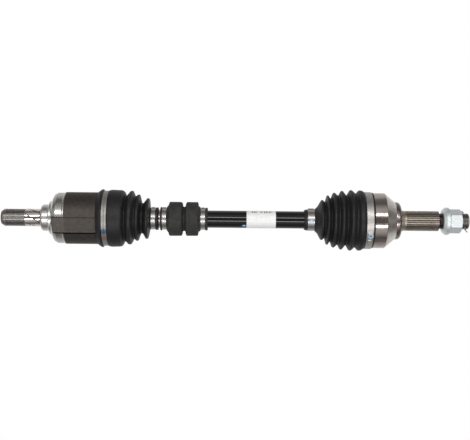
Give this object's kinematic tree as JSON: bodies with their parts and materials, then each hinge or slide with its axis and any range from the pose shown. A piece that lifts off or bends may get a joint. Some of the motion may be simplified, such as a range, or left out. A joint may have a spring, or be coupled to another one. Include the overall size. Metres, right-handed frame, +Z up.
{
  "type": "cv axle",
  "caption": "Front drive axle with a plunging tripod joint inboard, a fixed ball joint outboard, bellows boots, a tuned mass damper on the bar and splined stub ends.",
  "frame": {"origin": "on the axle's axis, at mid-length between the two stub end faces", "axes": "+X along the axle towards the wheel (outboard) stub, +Z up, Y across"},
  "size_m": [0.717, 0.094, 0.0939],
  "materials": {
    "machined_steel": "satin",
    "forged_steel": "satin",
    "bearing_steel": "polished",
    "plain_steel": "satin",
    "black_paint": "gloss",
    "boot_rubber": "satin",
    "damper_rubber": "matte",
    "clamp_steel": "satin",
    "label_film": "satin",
    "zinc_plate": "satin"
  },
  "bodies": {
    "shaft": {"interconnecting_shaft": "black_paint", "spider_circlip": "plain_steel", "race_circlip": "plain_steel", "damper_rubber": "damper_rubber", "damper_weight_inboard": "forged_steel", "damper_weight_outboard": "forged_steel", "inboard_boot_small_clamp": "clamp_steel", "damper_clamp_inboard": "clamp_steel", "damper_clamp_outboard": "clamp_steel", "outboard_boot_small_clamp": "clamp_steel", "damper_stop_ring": "machined_steel", "bar_label": "label_film", "tripod_spider": "machined_steel", "needle_set_1": "bearing_steel", "needle_set_2": "bearing_steel", "needle_set_3": "bearing_steel", "roller_retainer_1": "plain_steel", "roller_retainer_2": "plain_steel", "roller_retainer_3": "plain_steel", "inner_race": "bearing_steel"},
    "roller_1": {"roller_1": "bearing_steel"},
    "roller_2": {"roller_2": "bearing_steel"},
    "roller_3": {"roller_3": "bearing_steel"},
    "inboard_bellows": {"inboard_boot": "boot_rubber"},
    "inboard_housing": {"tulip_housing": "forged_steel", "stub_circlip": "plain_steel", "boot_insert": "boot_rubber", "inboard_boot_large_clamp": "clamp_steel"},
    "outboard_housing": {"wheel_stub_bell": "machined_steel", "outboard_boot": "boot_rubber", "outboard_boot_large_clamp": "clamp_steel", "cotter_pin": "plain_steel"},
    "cage": {"ball_cage": "bearing_steel", "joint_ball_1": "bearing_steel", "joint_ball_2": "bearing_steel", "joint_ball_3": "bearing_steel", "joint_ball_4": "bearing_steel", "joint_ball_5": "bearing_steel", "joint_ball_6": "bearing_steel"},
    "washer": {"conical_washer": "zinc_plate"},
    "nut": {"hub_nut": "zinc_plate"}
  },
  "joints": [
    {"name": "roller_1_spin", "type": "hinge", "parent": "shaft", "child": "roller_1", "pos_m": [-0.232, 0, 0], "axis": [0, 0.6691, 0.7431], "continuous": true},
    {"name": "roller_2_spin", "type": "hinge", "parent": "shaft", "child": "roller_2", "pos_m": [-0.232, 0, 0], "axis": [0, -0.9781, 0.2079], "continuous": true},
    {"name": "roller_3_spin", "type": "hinge", "parent": "shaft", "child": "roller_3", "pos_m": [-0.232, 0, 0], "axis": [0, 0.309, -0.9511], "continuous": true},
    {"name": "inboard_bend", "type": "hinge", "parent": "shaft", "child": "inboard_bellows", "pos_m": [-0.232, 0, 0], "axis": [0, 1, 0], "range_deg": [-18, 18], "deforming": ["inboard_boot"]},
    {"name": "inboard_plunge", "type": "slide", "parent": "inboard_bellows", "child": "inboard_housing", "axis": [1, 0, 0], "range_m": [-0.012, 0.012]},
    {"name": "outboard_bend", "type": "hinge", "parent": "shaft", "child": "outboard_housing", "pos_m": [0.205, 0, 0], "axis": [0, 0, 1], "range_deg": [-45, 45], "deforming": ["outboard_boot"]},
    {"name": "cage_bend", "type": "hinge", "parent": "shaft", "child": "cage", "pos_m": [0.205, 0, 0], "axis": [0, 0, 1], "range_deg": [-23, 23]},
    {"name": "washer_travel", "type": "slide", "parent": "outboard_housing", "child": "washer", "axis": [1, 0, 0], "range_m": [-0.0046, 0.0008]},
    {"name": "nut_turn", "type": "hinge", "parent": "washer", "child": "nut", "pos_m": [0.338, 0, 0], "axis": [1, 0, 0], "range_deg": [-1080, 180]}
  ],
  "couplings": [
    {"joint": "cage_bend", "follows": "outboard_bend", "ratio": 0.5},
    {"joint": "washer_travel", "follows": "nut_turn", "m_per_rad": 0.00023873}
  ]
}
